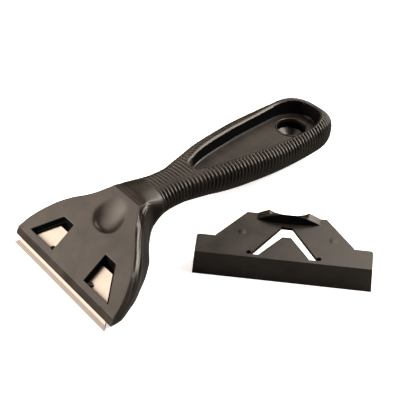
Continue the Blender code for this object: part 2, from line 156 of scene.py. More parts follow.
def eased(x: np.ndarray | float, table: Table) -> np.ndarray:
    """Read a table of (place, value) pairs with a smooth curve through its points.

    Each span is a cubic whose end slopes are the mean of its neighbours' slopes, and flat
    where the values turn.

    Args:
        x: places to read at.
        table: the pairs, with rising places.

    Returns:
        The values at x.
    """
    xs = np.array([row[0] for row in table])
    ys = np.array([row[1] for row in table])
    steps = np.diff(ys) / np.diff(xs)
    slopes = np.concatenate(([steps[0]], (steps[:-1] + steps[1:]) / 2, [steps[-1]]))
    slopes[1:-1][steps[:-1] * steps[1:] <= 0] = 0
    x = np.clip(x, xs[0], xs[-1])
    k = np.clip(np.searchsorted(xs, x, side="right") - 1, 0, len(xs) - 2)
    span = xs[k + 1] - xs[k]
    t = (x - xs[k]) / span
    return cubic((ys[k], ys[k + 1]), (span * slopes[k], span * slopes[k + 1]), t)


def smooth_min(a: np.ndarray, b: np.ndarray, k: float) -> np.ndarray:
    """Lower of two heights, with the corner between them rounded over a band of width k."""
    h = np.clip(0.5 + 0.5 * (b - a) / k, 0, 1)
    return b * (1 - h) + a * h - k * h * (1 - h)


def smoothstep(low: float | np.ndarray, high: float | np.ndarray, x: np.ndarray) -> np.ndarray:
    """Ease from 0 at low to 1 at high."""
    t = np.clip((x - low) / (high - low), 0, 1)
    return t * t * (3 - 2 * t)


def catmull(controls: int, samples: int) -> np.ndarray:
    """Weights that turn a row of control points into a smooth curve through them.

    Args:
        controls: number of control points.
        samples: number of points wanted on the curve.

    Returns:
        A matrix of samples by controls.
    """
    places = np.linspace(0, controls - 1, samples)
    unit = np.eye(controls)
    slopes = np.zeros((controls, controls))
    slopes[1:-1, 2:] += np.eye(controls - 2) / 2
    slopes[1:-1, :-2] -= np.eye(controls - 2) / 2
    slopes[0, :2], slopes[-1, -2:] = (-1, 1), (-1, 1)
    k = np.clip(places.astype(int), 0, controls - 2)
    t = (places - k)[:, None]
    return cubic((unit[k], unit[k + 1]), (slopes[k], slopes[k + 1]), t)


def oval(share: np.ndarray, power: np.ndarray | float) -> np.ndarray:
    """Height of a unit oval at a share of its half-width; a higher power makes it squarer."""
    return (1 - np.minimum(share, 1) ** power) ** (1 / power)


def blade_point(u: float, back: float, above: float) -> Point:
    """Point of the level frame from its place back from the cutting edge and above the blade's middle."""
    return u, back * PLATE_COS - above * PLATE_SIN, back * PLATE_SIN + above * PLATE_COS


def plate_w(v: np.ndarray | float) -> np.ndarray | float:
    """Height of the inclined head plate's top face at distances v back from the cutting edge."""
    return FRONT_TOP_W + (v - FRONT_V) * PLATE_TAN


@dataclass(frozen=True)
class Place:
    """Rigid placing of a local frame in millimetres on the table in metres.

    Attributes:
        matrix: turn and shift, as a 4 by 4 matrix that also turns millimetres into metres.
    """

    matrix: Matrix

    def apply(self, mesh: Mesh) -> None:
        """Move a mesh from its local frame to the table."""
        mesh.transform(self.matrix)
        mesh.update()


def scraper_place() -> Place:
    """Placing of the scraper's level frame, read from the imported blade.

    Returns:
        The pitched placing whose zero is the middle of the cutting edge.
    """
    low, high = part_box("blade")
    # The edge's middle lies this far, in metres, inside the corner of the blade's box
    inside = (0.00002, 0.000026)
    origin = Vector(((low[0] + high[0]) / 2, low[1] + inside[0], low[2] + inside[1]))
    return Place(Matrix.Translation(origin) @ Matrix.Rotation(-TOOL_PITCH, 4, "X") @ Matrix.Scale(MM, 4))


def cover_place(scraper: Place) -> Place:
    """Placing of the cover's own frame beside the scraper.

    Args:
        scraper: the scraper's placing, which shares its zero.

    Returns:
        The placing whose zero is the middle of the cover's front foot.
    """
    x = COVER_X + COVER_FORWARD * math.sin(COVER_TURN)
    y = COVER_Y - COVER_FORWARD * math.cos(COVER_TURN)
    origin = scraper.matrix.translation + Vector((x, y, 0.0)) * MM
    return Place(Matrix.Translation(origin) @ Matrix.Rotation(COVER_TURN, 4, "Z") @ Matrix.Scale(MM, 4))


def linear(code: str) -> tuple[float, float, float, float]:
    """Turn an sRGB hex code into the linear colour with alpha that shaders take."""
    parts = [int(code[i:i + 2], 16) / 255 for i in (0, 2, 4)]
    return tuple(c / 12.92 if c <= 0.04045 else ((c + 0.055) / 1.055) ** 2.4 for c in parts) + (1.0,)


class Use(Enum):
    """What a tool does to the piece it is used on."""

    CUT = "DIFFERENCE"
    JOIN = "UNION"


def add_node(tree: NodeTree, kind: str, inputs: dict | None = None, **settings) -> Node:
    """Add one node, set its properties and fill or link its inputs.

    Args:
        tree: the material's node tree.
        kind: the node's Blender type.
        inputs: input names or numbers to a value or to another node's output.
        settings: properties of the node itself.

    Returns:
        The new node.
    """
    node = tree.nodes.new(kind)
    for name, value in settings.items():
        setattr(node, name, value)
    fill_inputs(tree, node, inputs or {})
    return node


def fill_inputs(tree: NodeTree, node: Node, inputs: dict) -> None:
    """Fill or link inputs of a node.

    Args:
        tree: the node's tree.
        node: the node.
        inputs: input names or numbers to a value or to another node's output.
    """
    for name, value in inputs.items():
        if isinstance(value, NodeSocket):
            tree.links.new(value, node.inputs[name])
        else:
            node.inputs[name].default_value = value


def new_material(name: str) -> tuple[Material, NodeTree, Node]:
    """Make a plain material.

    Args:
        name: the material's name.

    Returns:
        The material, its node tree and its shader.
    """
    material = bpy.data.materials.new(name)
    material.use_nodes = True
    return material, material.node_tree, material.node_tree.nodes["Principled BSDF"]


@dataclass(frozen=True)
class PlasticFinish:
    """Satin moulded plastic with a fine spark-eroded grain and faint clouding.

    The grain breaks up its soft mirror reflection, and the clouds change its tone and gloss a little.

    Attributes:
        name: the material's name.
        deep: colour of the darker clouds, as sRGB hex.
        pale: colour of the lighter clouds, as sRGB hex.
        roughness: mean roughness.
        roughness_shifts: how much less and more rough the dark and light clouds are.
        grain_mm: size of the moulded grain, drawn coarser than the real one so that it shows.
        grain_depth: strength of the grain.
        grain_rise_mm: height of the grain.
        cloud_mm: size of the clouds.
        cloud_band: noise values at which the clouds are darkest and lightest.
        sheen: strength of its mirror reflection, 0.5 for plain plastic.
        sheen_shares: shares of that strength in the dark and light clouds.
        ior: index of refraction, at a value that suits most moulded plastics.
    """

    name: str
    deep: str = "13100d"
    pale: str = "1e1914"
    roughness: float = 0.37
    roughness_shifts: tuple[float, float] = (-0.06, 0.07)
    grain_mm: float = 0.35
    grain_depth: float = 0.12
    grain_rise_mm: float = 0.05
    cloud_mm: float = 9.0
    cloud_band: tuple[float, float] = (0.3, 0.7)
    sheen: float = 0.5
    sheen_shares: tuple[float, float] = (0.86, 1.14)
    ior: float = 1.5

    def build(self) -> Material:
        """Make the material.

        Returns:
            The finished material.
        """
        material, tree, shader = new_material(self.name)
        where = add_node(tree, "ShaderNodeTexCoord").outputs["Object"]
        cloud, grain = [add_node(tree, "ShaderNodeTexNoise", {
            "Vector": where, "Scale": 1 / (size * MM), "Detail": detail, "Roughness": rough}).outputs["Fac"]
            for size, detail, rough in ((self.cloud_mm, 4.0, 0.6), (self.grain_mm, 2.0, 0.5))]
        ramp = add_node(tree, "ShaderNodeValToRGB", {"Fac": cloud})
        dark, light = ramp.color_ramp.elements
        dark.position, light.position = self.cloud_band
        dark.color, light.color = linear(self.deep), linear(self.pale)
        spans = ([self.roughness + shift for shift in self.roughness_shifts],
                 [self.sheen * share for share in self.sheen_shares])
        rough, gloss = [add_node(tree, "ShaderNodeMapRange", {
            "Value": cloud, "From Min": self.cloud_band[0], "From Max": self.cloud_band[1],
            "To Min": least, "To Max": most}).outputs["Result"] for least, most in spans]
        bump = add_node(tree, "ShaderNodeBump", {
            "Height": grain, "Strength": self.grain_depth, "Distance": self.grain_rise_mm * MM})
        fill_inputs(tree, shader, {
            "Base Color": ramp.outputs["Color"], "Roughness": rough, "Normal": bump.outputs["Normal"],
            "IOR": self.ior, "Specular IOR Level": gloss})
        log.info("material %s", self.name)
        return material


@dataclass(frozen=True)
class SteelFinish:
    """Rolled blade steel with a brighter flat and a finely ground, darker edge.

    Rolling leaves faint bands of gloss along the blade, and grinding leaves slanted streaks.

    Attributes:
        name: the material's name.
        flat: colour of the rolled flat, as sRGB hex.
        ground: colour of the ground edge, as sRGB hex.
        bevel_mm: how far the ground edge runs back.
        blur_mm: half-width of the border between the two.
        streak_mm: width and length of the grinding marks, drawn coarser than the real ones so
            that they show.
        slant: angle of the grinding marks, in degrees.
        roll_mm: length and width of the rolling bands.
        scratch_mm: depth of the marks.
        scratch: strength of the marks.
        roughness: least and most roughness.
    """

    name: str = "rolled_blade_steel"
    flat: str = "a29d98"
    ground: str = "5c5a58"
    bevel_mm: float = 1.9
    blur_mm: float = 0.1
    streak_mm: tuple[float, float] = (0.35, 50 / 3)
    slant: float = 35.0
    roll_mm: tuple[float, float] = (12.5, 0.4)
    scratch_mm: float = 0.02
    scratch: float = 0.08
    roughness: tuple[float, float] = (0.3, 0.42)

    def build(self, origin: Vector) -> Material:
        """Make the material.

        Args:
            origin: middle of the cutting edge, in metres.

        Returns:
            The finished material.
        """
        material, tree, shader = new_material(self.name)
        tilt = PLATE_TILT - TOOL_PITCH
        where = add_node(tree, "ShaderNodeTexCoord").outputs["Object"]
        local = add_node(tree, "ShaderNodeVectorMath", {0: where, 1: origin}, operation="SUBTRACT")
        depth = add_node(tree, "ShaderNodeVectorMath", {
            0: local.outputs["Vector"], 1: (0.0, math.cos(tilt), math.sin(tilt))}, operation="DOT_PRODUCT")
        edge = add_node(tree, "ShaderNodeMapRange", {
            "Value": depth.outputs["Value"], "From Min": (self.bevel_mm - self.blur_mm) * MM,
            "From Max": (self.bevel_mm + self.blur_mm) * MM})
        streak, band = [add_node(tree, "ShaderNodeTexNoise", {
            "Vector": add_node(tree, "ShaderNodeMapping", {
                "Vector": local.outputs["Vector"], "Rotation": (0.0, 0.0, math.radians(turn)),
                "Scale": [1 / (size * MM) for size in (along, back, back)]}).outputs["Vector"],
            "Scale": 1.0, "Detail": detail}).outputs["Fac"]
            for turn, (along, back), detail in (
                (self.slant, self.streak_mm, 3.0), (0.0, self.roll_mm, 2.0))]
        colour = add_node(tree, "ShaderNodeMix", {
            "Factor": edge.outputs["Result"], "A": linear(self.ground), "B": linear(self.flat)},
            data_type="RGBA")
        tone = add_node(tree, "ShaderNodeMapRange", {
            "Value": streak, "From Min": 0.3, "From Max": 0.7, "To Min": 0.9, "To Max": 1.0})
        tinted = add_node(tree, "ShaderNodeVectorMath", {
            0: colour.outputs["Result"], 1: tone.outputs["Result"]}, operation="MULTIPLY")
        rough = add_node(tree, "ShaderNodeMapRange", {
            "Value": band, "To Min": self.roughness[0], "To Max": self.roughness[1]})
        bump = add_node(tree, "ShaderNodeBump", {
            "Height": streak, "Strength": self.scratch, "Distance": self.scratch_mm * MM})
        fill_inputs(tree, shader, {
            "Base Color": tinted.outputs["Vector"], "Roughness": rough.outputs["Result"],
            "Normal": bump.outputs["Normal"], "Metallic": 1.0})
        log.info("material %s", self.name)
        return material


def make_object(name: str, points: np.ndarray, faces: Sequence[Sequence[int]]) -> Object:
    """Make an object from points and faces, with every face turned outward.

    Args:
        name: the object's name.
        points: an array of corner positions.
        faces: corner numbers of each face.

    Returns:
        The new object.
    """
    mesh = bpy.data.meshes.new(name)
    mesh.from_pydata(points.reshape(-1, 3).tolist(), [], faces)
    work = bmesh.new()
    work.from_mesh(mesh)
    bmesh.ops.recalc_face_normals(work, faces=work.faces[:])
    work.to_mesh(mesh)
    work.free()
    made = bpy.data.objects.new(name, mesh)
    bpy.context.scene.collection.objects.link(made)
    return made


def skin(name: str, rings: np.ndarray, closed: bool = False) -> Object:
    """Join equal closed rings one after another.

    Args:
        name: the object's name.
        rings: an array of rings by points by 3.
        closed: join the last ring to the first too, and otherwise cap both ends.

    Returns:
        The closed object.
    """
    index = np.arange(rings.shape[0] * rings.shape[1]).reshape(rings.shape[:2])
    here, there = (index, np.roll(index, -1, 0)) if closed else (index[:-1], index[1:])
    quads = np.stack([here, np.roll(here, -1, 1), np.roll(there, -1, 1), there], 2).reshape(-1, 4).tolist()
    caps = [] if closed else [index[0, ::-1].tolist(), index[-1].tolist()]
    return make_object(name, rings, quads + caps)


def prism(name: str, outline: np.ndarray, low: np.ndarray | float, high: np.ndarray | float) -> Object:
    """Upright solid on an outline, from one height or each corner's height to another."""
    column = np.ones(len(outline))
    return skin(name, np.stack([np.column_stack([outline, column * w]) for w in (low, high)]))


def circle(radius: float, steps: int, x: float, y: float) -> np.ndarray:
    """Corners of a level circle about x and y, as an array of corners by 2."""
    turn = np.linspace(0, 2 * math.pi, steps, endpoint=False)
    return np.stack([x + radius * np.cos(turn), y + radius * np.sin(turn)], 1)


def turned(name: str, steps: int, x: float, y: float, radii: Sequence[float],
           heights: Sequence[float]) -> Object:
    """Solid of given steps round an upright axis at x and y, from each ring's radius and height."""
    return skin(name, np.stack([np.column_stack([circle(radius, steps, x, y), np.full(steps, height)])
                                for radius, height in zip(radii, heights)]))


def grown(plan: np.ndarray, width: float) -> np.ndarray:
    """Move the sides of a convex outline outward.

    Each corner moves along the sum of its two sides' outward normals, divided by one plus
    their product, which keeps both sides parallel to themselves.

    Args:
        plan: an array of corners by 2.
        width: how far the sides move.

    Returns:
        The wider outline.
    """
    side = np.roll(plan, -1, 0) - plan
    normal = np.column_stack([side[:, 1], -side[:, 0]]) / np.linalg.norm(side, axis=1)[:, None]
    before = np.roll(normal, 1, 0)
    move = (before + normal) / (1 + (before * normal).sum(1, keepdims=True))
    away = np.sign((normal * (plan - plan.mean(0))).sum())
    return plan + away * width * move


def apply_modifiers(made: Object) -> None:
    """Replace an object's mesh by its evaluated one and drop its modifiers.

    Args:
        made: the object.
    """
    bpy.context.view_layer.update()
    shape = bpy.data.meshes.new_from_object(made.evaluated_get(bpy.context.evaluated_depsgraph_get()))
    made.modifiers.clear()
    made.data = shape


def combine(target: Object, tools: Sequence[tuple[Object, Use]]) -> None:
    """Cut or join an object with others, which are then removed.

    Args:
        target: the object that is kept.
        tools: the other objects, each with its use.
    """
    for tool, use in tools:
        change = target.modifiers.new(use.name, "BOOLEAN")
        change.operation, change.solver, change.object = use.value, "EXACT", tool
    apply_modifiers(target)
    for tool, _ in tools:
        bpy.data.objects.remove(tool)


def soften(made: Object, width: float, angle: float, segments: int) -> None:
    """Round the sharp edges of an object.

    Args:
        made: the object.
        width: width of the rounding in millimetres.
        angle: smallest angle between faces, in degrees, that is rounded.
        segments: number of faces across the rounding.
    """
    work = bmesh.new()
    work.from_mesh(made.data)
    bmesh.ops.dissolve_limit(work, angle_limit=math.radians(0.3), verts=work.verts[:], edges=work.edges[:])
    edges = [e for e in work.edges if len(e.link_faces) == 2 and e.calc_face_angle(0) > math.radians(angle)]
    bmesh.ops.bevel(work, geom=edges, offset=width, offset_type="OFFSET", segments=segments, profile=0.5,
                    affect="EDGES", clamp_overlap=True)
    work.to_mesh(made.data)
    work.free()


def shade(made: Object, angle: float, weighted: bool) -> None:
    """Shade an object smooth up to an angle.

    Args:
        made: the object.
        angle: faces that meet at more than this, in degrees, keep a sharp edge.
        weighted: let large flat faces keep their own direction.
    """
    made.data.shade_smooth()
    made.data.set_sharp_from_angle(angle=math.radians(angle))
    if weighted:
        change = made.modifiers.new("weight", "WEIGHTED_NORMAL")
        change.keep_sharp = True
        apply_modifiers(made)


def face_values(made: Object) -> tuple[np.ndarray, np.ndarray]:
    """Middle and normal of every face.

    Args:
        made: the object.

    Returns:
        Two arrays of 3 by faces.
    """
    count = len(made.data.polygons)
    middle, normal = np.empty(count * 3), np.empty(count * 3)
    made.data.polygons.foreach_get("center", middle)
    made.data.polygons.foreach_get("normal", normal)
    return middle.reshape(-1, 3).T, normal.reshape(-1, 3).T


def mark_faces(made: Object, chosen: np.ndarray) -> None:
    """Give the chosen faces of an object its second material."""
    made.data.polygons.foreach_set("material_index", chosen.astype(np.int32))


def finish_piece(made: Object, place: Place, material: Material, body: str,
                 replaced: Sequence[str] = (), extra: Sequence[Material] = ()) -> None:
    """Put a finished piece on the table, dress it and let it ride its body.

    Args:
        made: the object, shaped in its local frame.
        place: placing of that frame.
        material: its material.
        body: the body it rides.
        replaced: CAD nodes that it stands for.
        extra: further materials for faces that are marked with them.
    """
    place.apply(made.data)
    marks = np.zeros(len(made.data.polygons), dtype=np.int32)
    made.data.polygons.foreach_get("material_index", marks)
    made.data.materials.clear()
    for dress in (material, *extra):
        made.data.materials.append(dress)
    made.data.polygons.foreach_set("material_index", np.minimum(marks, len(extra)).astype(np.int32))
    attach(made, body)
    if replaced:
        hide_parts(*replaced)
    log.info("piece %s: %d faces on %s", made.name, len(made.data.polygons), body)


@dataclass
class Handle:
    """Ribbed grip, neck and flared head of the scraper, moulded in one piece.

    Attributes:
        place: placing of the scraper's level frame.
        finish: the moulded plastic.
        shaded_recess: a darker, duller copy of the same plastic, painted shade for the faces inside the
            recesses.
        rings_per_rib: rings of points for each rib.
        rib_stop: least distance from the last whole rib to the grip's end.
        base_power: squareness of its lower half.
        slab: how far the head plate stands above the body below it.
        groove: greatest height below the slab over which the undercut side bends outward.
        lip: height of the sloped lip above the pocket's wall.
        lip_back: how far outside the pocket's floor the rim's height is taken.
        dense: how far outside the pocket's floor the points stay close together.
        rim_round: height over which the pocket's rim is rounded.
        foot_round: height over which the foot of the pocket's wall is rounded.
        front_round: radius of the head's top front edge.
        front_lean: how far the foot of the front face stands forward.
        lean_run: how far back that lean runs out.
        crest_run: length behind the crease over which the rings stand close together.
        neck_run: length over which the head's section turns into the grip's.
    """

    place: Place
    finish: PlasticFinish
    shaded_recess: PlasticFinish
    rings_per_rib: int = 7
    rib_stop: float = 2.4
    base_power: float = 2.0
    slab: float = 1.4
    groove: float = 2.8
    lip: float = 0.8
    lip_back: float = 1.6
    dense: float = 2.6
    rim_round: float = 0.7
    foot_round: float = 0.9
    front_round: float = 0.03
    front_lean: float = 1.0
    lean_run: float = 4.0
    crest_run: float = 2.4
    neck_run: float = 12.5

    def reaches(self, share: np.ndarray) -> tuple[np.ndarray, np.ndarray, np.ndarray, np.ndarray]:
        """Half-width, top, waist and base heights at shares of the handle's run.

        All of them shrink along the rounded end.

        Args:
            share: shares of the run from the crease to the end.

        Returns:
            The four reaches.
        """
        cap = np.clip((share - CAP_SHARE) / (1 - CAP_SHARE), 0, 1)
        top_left, base_left, half_left = [oval(cap, power) for power in CAP_POWERS]
        waist = RIM * eased(share, WAIST_SHARES)
        top = waist + (RIM * eased(share, TOP_SHARES) - waist) * top_left
        base = waist - (waist - RIM * eased(share, BASE_SHARES)) * base_left
        return HANDLE_HALF * eased(share, HALF_SHARES) * half_left, top, waist, base

    def pocket_half(self, v: np.ndarray) -> np.ndarray:
        """Half-width of the pocket's floor, which closes as half an ellipse past its widest place.

        Args:
            v: places along the handle.

        Returns:
            Half-widths, zero outside the pocket.
        """
        share = (v - POCKET_V) / POCKET_RUN
        past = np.clip((share - POCKET_END_SHARE) / (1 - POCKET_END_SHARE), 0, 1)
        return np.maximum(eased(share, POCKET_SHARES), 0) * np.sqrt(1 - past ** 2)

    def pocket_distance(self, u: np.ndarray, v: np.ndarray) -> np.ndarray:
        """How far a plan position lies outside the pocket's floor.

        Beside the floor it is the width beyond the floor's own half-width; before the pocket it
        is the distance from its tip, and past its widest place the share by which the position
        lies outside the closing ellipse, times that widest half-width.

        Args:
            u: sideways places.
            v: places along the handle.

        Returns:
            Distances, negative on the floor.
        """
        widest = POCKET_SHARES[-1][1]
        past = np.maximum((v - POCKET_V) / POCKET_RUN - POCKET_END_SHARE, 0) / (1 - POCKET_END_SHARE)
        beside = np.hypot(u, np.minimum(v - POCKET_V, 0)) - self.pocket_half(v)
        return np.where(past > 0, (np.hypot(u / widest, past) - 1) * widest, beside)

    def pocket_floor(self, v: np.ndarray) -> np.ndarray:
        """Height of the pocket's floor, which rises slowly toward the end."""
        return POCKET_FLOOR + POCKET_RISE * (v - POCKET_V) / POCKET_RUN

    def grip_half(self, v: np.ndarray) -> tuple[np.ndarray, np.ndarray]:
        """Right half of the handle's rings, from the middle of the top to the middle of the base.

        The section is a flattened oval. Its top is the lower of that oval and the pocket's own
        floor and wall, with the rim between them rounded. The columns of points follow the
        edge of the pocket's floor.

        Args:
            v: stations, as a column.

        Returns:
            Places u and heights w, stations by points.
        """
        share = np.maximum(v - CREASE_V, 0) / HANDLE_RUN
        half, top, waist, base = self.reaches(share)
        power = eased(share, SECTION_POWERS)
        least = 0.1 + 0.4 * (1 - smoothstep(CREASE_V + 10, POCKET_V - 4, v))
        floor_half = np.clip(self.pocket_half(v), least * half, 0.7 * half)
        brim = np.minimum(floor_half + self.dense, 0.86 * half)
        inner = np.concatenate([floor_half * np.linspace(0, 1, 13)[:-1],
                                floor_half + (brim - floor_half) * np.linspace(0, 1, 12)[:-1]], 1)
        turn = np.arccos(np.clip((brim / half) ** (power / 2), 0, 1)) * (1 - np.linspace(0, 1, 24))
        upper_u = np.concatenate([inner, half * np.cos(turn) ** (2 / power)], 1)
        upper_w = waist + (top - waist) * np.concatenate(
            [oval(inner / half, power), np.sin(turn) ** (2 / power)], 1)
        floor = self.pocket_floor(v)
        away = self.pocket_distance(upper_u, v)
        step = waist + (top - waist) * oval((floor_half + self.lip_back) / half, power) - self.lip - floor
        wall = np.minimum(away * WALL_SLOPE, step + (away - step / WALL_SLOPE) * LIP_SLOPE)
        upper_w = smooth_min(upper_w, floor - smooth_min(0 * wall, -wall, self.foot_round), self.rim_round)
        turn = np.linspace(0, math.pi / 2, 27)[1:] * np.ones_like(v)
        low_u = half * np.abs(np.cos(turn)) ** (2 / self.base_power)
        low_u[:, -1] = 0
        low_w = waist - (waist - base) * np.sin(turn) ** (2 / self.base_power)
        return np.concatenate([upper_u, low_u], 1), np.concatenate([upper_w, low_w], 1)

    def head_half(self, v: np.ndarray) -> tuple[np.ndarray, np.ndarray]:
        """Right half of the head's rings, in the same order of points as the handle's.

        A thin slab with the plate's outline stands on a wider body. Below the slab's edge and a
        narrow groove the side runs as one smooth curve over a shoulder down to a flared foot.
        Near the crease the side first runs out almost level and then falls to the shoulder.

        Args:
            v: stations, as a column.

        Returns:
            Places u and heights w, stations by points.
        """
        share = np.clip((v - FRONT_V) / HEAD_RUN, 0, 1)
        late = np.maximum(v - CREASE_V, 0)
        half, shoulder, flange = [
            np.maximum(HEAD_HALF * eased(share, table) - narrowing * late, least)
            for table, narrowing, least in (
                (HEAD_HALF_SHARES, 0.3, 5.0), (SHOULDER_SHARES, 0.95, 6.0), (FLANGE_SHARES, 1.15, 7.0))]
        lift = FRONT_BASE_W - BLADE_THICK - FRONT_V * PITCH_TAN
        base = v * PITCH_TAN + lift * eased(share, LIFT_SHARES)
        scale = np.clip((plate_w(v) - base) / 6, 0.45, 1)
        slab = self.slab * scale * (1 - smoothstep(0, 2.8, late))
        body = np.where(v <= CREASE_V, plate_w(v) - slab, RIM * eased(late / HANDLE_RUN, TOP_SHARES))
        top = body + slab
        drop, out, flare = top - base, shoulder - half, flange - shoulder
        edge = np.minimum(0.3, 0.28 * slab + 0.05)
        foot = np.minimum(0.9, drop * 0.16)
        level = smoothstep(11, 16.5, v - FRONT_V) * (1 - 0.9 * np.exp(-((v - CREASE_V + 2.3) / 1.6) ** 2))
        level = np.where(late > 0, np.maximum(level, smoothstep(0, 1, late)), level)
        fall = drop * (0.36 - 0.1 * level)
        sink = np.minimum(fall, self.groove * (1 - 0.6 * smoothstep(0, 4, late)))
        side_u = np.stack([
            half, half - 0.3, half - 0.12, half + 0.2 * out, half + 0.48 * out, half + 0.76 * out,
            shoulder, shoulder + 0.22 * flare, shoulder + 0.75 * flare, flange], -1)
        side_w = np.stack([
            top - edge, body + 0.2 * slab, body - 0.1 * scale, body - (0.4 - 0.26 * level) * sink,
            body - (0.72 - 0.28 * level) * sink, body - (0.9 - 0.15 * level) * sink, body - fall,
            top - 0.55 * drop, top - 0.82 * drop, base + foot], -1)
        weights = catmull(10, 33).T
        arc = np.linspace(0, math.pi / 2, 6)[1:-1]
        flat, ease = np.linspace(0, 1, 23), np.linspace(1, 0, 9)
        u = [(half - edge) * flat, half - edge + edge * np.sin(arc), (side_u @ weights)[:, 0],
             flange - foot + foot * np.cos(arc), (flange - foot) * ease]
        w = [top + 0 * flat, top - edge + edge * np.cos(arc), (side_w @ weights)[:, 0],
             base + foot - foot * np.sin(arc), base + 0 * ease]
        return np.concatenate(u, 1), np.concatenate(w, 1)

    def press_ribs(self, u: np.ndarray, v: np.ndarray, w: np.ndarray) -> tuple[np.ndarray, np.ndarray]:
        """Press the grooves between the ribs into the rings, along their inward direction.

        The depth of a groove falls off as a power of the distance from its middle. The grooves
        fade out over the crest of the pocket's rim and at the very end.

        Args:
            u: sideways places, stations by points.
            v: stations, as a column.
            w: heights, stations by points.

        Returns:
            The moved u and w.
        """
        _, top, waist, _ = self.reaches(np.maximum(v - CREASE_V, 0) / HANDLE_RUN)
        du, dw = np.roll(u, -1, 1) - np.roll(u, 1, 1), np.roll(w, -1, 1) - np.roll(w, 1, 1)
        length = np.hypot(du, dw) + 1e-9
        phase = (v - FIRST_RIB_V) / RIB_PITCH
        across = 2 * np.abs(phase - np.round(phase))
        floor = self.pocket_floor(v)
        crest = np.maximum(top - floor, 0) / WALL_SLOPE
        fade = smoothstep(crest + 0.8, crest + 1.4, self.pocket_distance(u, v))
        fade = np.where(w < np.minimum(waist, floor - 0.5), 1, fade)
        fade = fade * (1 - smoothstep(END_V - 3.2, END_V - 1, v)) * (v >= SEAM_V - 0.01)
        inset = RIB_DEPTH * across ** RIB_POWER * fade
        return u + dw / length * inset, w - du / length * inset

    def rings(self) -> np.ndarray:
        """All rings of the moulding, from the front of the head to the end of the grip.

        Returns:
            An array of stations by points by 3.
        """
        ribs = math.floor((END_V - self.rib_stop - SEAM_V) / RIB_PITCH)
        rib_end = SEAM_V + RIB_PITCH * ribs
        late = 1 - (1 - np.linspace(0, 1, 30)[1:]) ** 2
        v = np.concatenate([
            np.linspace(FRONT_V, FRONT_V + 0.9, 9)[:-1], np.linspace(FRONT_V + 0.9, CREASE_V, 90),
            CREASE_V + np.linspace(0, self.crest_run, 9)[1:],
            np.linspace(CREASE_V + self.crest_run, SEAM_V - 0.05, 26)[1:],
            np.linspace(SEAM_V, rib_end, ribs * self.rings_per_rib + 1),
            rib_end + (END_V - 0.004 - rib_end) * late])[:, None]
        head_u, head_w = self.head_half(v)
        grip_u, grip_w = self.grip_half(v)
        blend = smoothstep(0, self.neck_run, v - CREASE_V)
        u, w = head_u + (grip_u - head_u) * blend, head_w + (grip_w - head_w) * blend
        u[:, 0] = u[:, -1] = 0
        u = np.concatenate([u, -u[:, -2:0:-1]], 1)
        w = np.concatenate([w, w[:, -2:0:-1]], 1)
        u, w = self.press_ribs(u, v, w)
        return self.front_edge(self.dimple(np.stack([u, np.broadcast_to(v, u.shape), w], 2)))

    def front_edge(self, rings: np.ndarray) -> np.ndarray:
        """Round the top front edge of the head and lean its front face out at the foot.

        Args:
            rings: the moulding's rings.

        Returns:
            The rings with the shaped front.
        """
        v, w = rings[..., 1], rings[..., 2]
        ahead = 1 - np.clip((v - FRONT_V) / self.front_round, 0, 1)
        rings[..., 2] = np.minimum(w, plate_w(v) - self.front_round * (1 - np.sqrt(1 - ahead ** 2)))
        below = np.clip((plate_w(FRONT_V) - w) / FRONT_HIGH, 0, 1)
        rings[..., 1] = v - self.front_lean * below * (1 - smoothstep(0, self.lean_run, v - FRONT_V))
        return rings

    def dimple(self, rings: np.ndarray) -> np.ndarray:
        """Press the egg-shaped thumb dimple into the plate.

        Its depth falls steeply from the front edge and runs out gently toward the crease.

        Args:
            rings: the moulding's rings.

        Returns:
            The rings with the dimple.
        """
        half, before, behind, deepest, soft = 7.2, 6.0, 9.0, 2.3, 0.14
        u, v, w = rings[..., 0], rings[..., 1], rings[..., 2]
        along = (v - FRONT_V) / PLATE_COS - DIMPLE_BACK
        radius = np.hypot(u / half, along / np.where(along < 0, before, behind))
        bowl = (1 - radius ** 2) * deepest * (1 - 0.4 * np.clip(along / behind, -0.4, 1))
        depth = soft * np.log1p(np.exp(np.clip(bowl / soft, -30, 30)))
        on_plate = np.abs(w - plate_w(v)) < 0.01
        rings[..., 2] = w - np.where(on_plate, depth, 0)
        return rings

    def window_tools(self) -> list[tuple[Object, Use]]:
        """Cutters of the two windows: a bevelled mouth, and inside its ledge an opening.

        The opening runs down to the blade, and behind the blade's back edge it is deeper.

        Returns:
            The cutters.
        """
        tools = []
        for side in (-1, 1):
            for cut in (WINDOW_MOUTH, WINDOW_OPENING):
                inner, short, fore, depths = cut
                near, far = FRONT_V + fore * PLATE_COS, FRONT_V + WINDOW_REAR * PLATE_COS
                near_end, far_end = [BLADE_HALF - short - v / PLATE_COS * BLADE_SLANT for v in (near, far)]
                plan = np.array([(inner, near), (near_end, near), (far_end, far), (inner, far)]) * (side, 1)
                low = plate_w(plan[:, 1]) - np.repeat(depths, 2)
                tools.append((prism("window", plan, low, TOOL_TOP), Use.CUT))
                if cut is WINDOW_MOUTH:
                    wide = grown(plan, MOUTH_BEVEL)
                    rims = [np.column_stack([edge, plate_w(edge[:, 1]) + above])
                            for edge, above in ((plan, -0.12), (wide, 0.1))]
                    tools.append((skin("mouth", np.stack(rims)), Use.CUT))
        return tools

